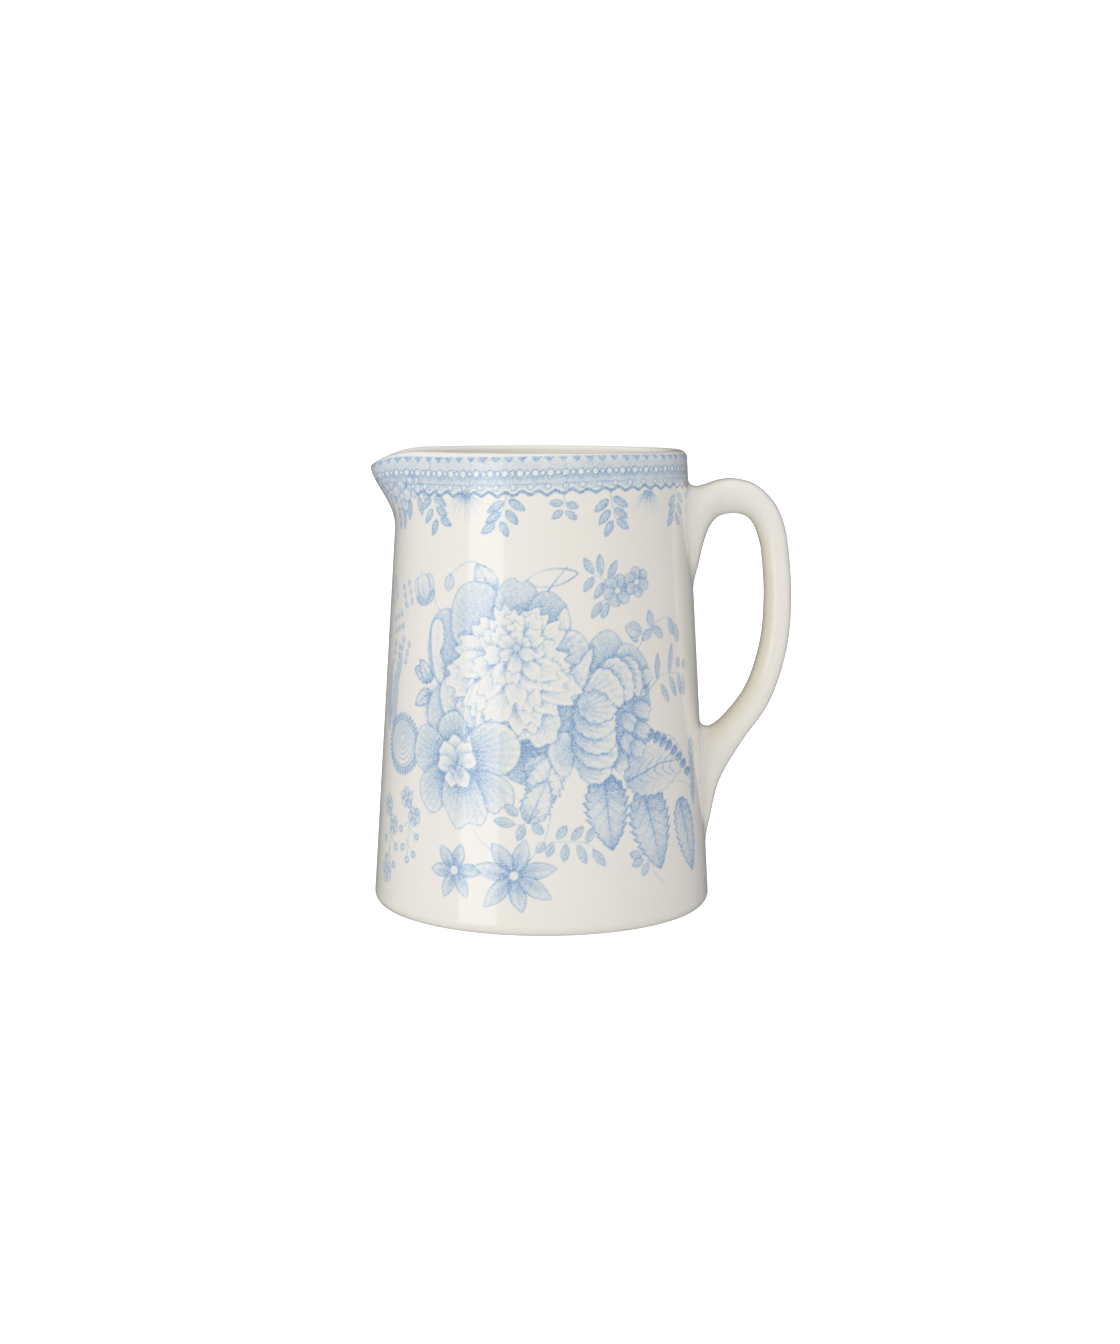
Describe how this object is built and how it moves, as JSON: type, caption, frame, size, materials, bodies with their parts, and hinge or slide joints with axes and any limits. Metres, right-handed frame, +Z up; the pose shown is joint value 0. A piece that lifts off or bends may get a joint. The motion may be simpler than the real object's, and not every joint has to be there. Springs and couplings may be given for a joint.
{
  "type": "porcelain cream jug",
  "caption": "Small tapering china cream jug with a drooping pouring lip and a plain loop handle, printed all round with flowers under a lace border.",
  "frame": {"origin": "on the body's axis, in the plane of the foot ring that the jug stands on", "axes": "+Z up along the body's axis, +X towards the handle, -X towards the pouring lip, +Y across"},
  "size_m": [0.0942, 0.076, 0.102],
  "materials": {
    "printed_glaze": "clear gloss glaze over a blue transfer print on ivory china",
    "plain_glaze": "clear gloss glaze on ivory china, no print"
  },
  "bodies": {
    "root": {"jug_body": "printed_glaze", "handle": "plain_glaze"}
  },
  "joints": []
}
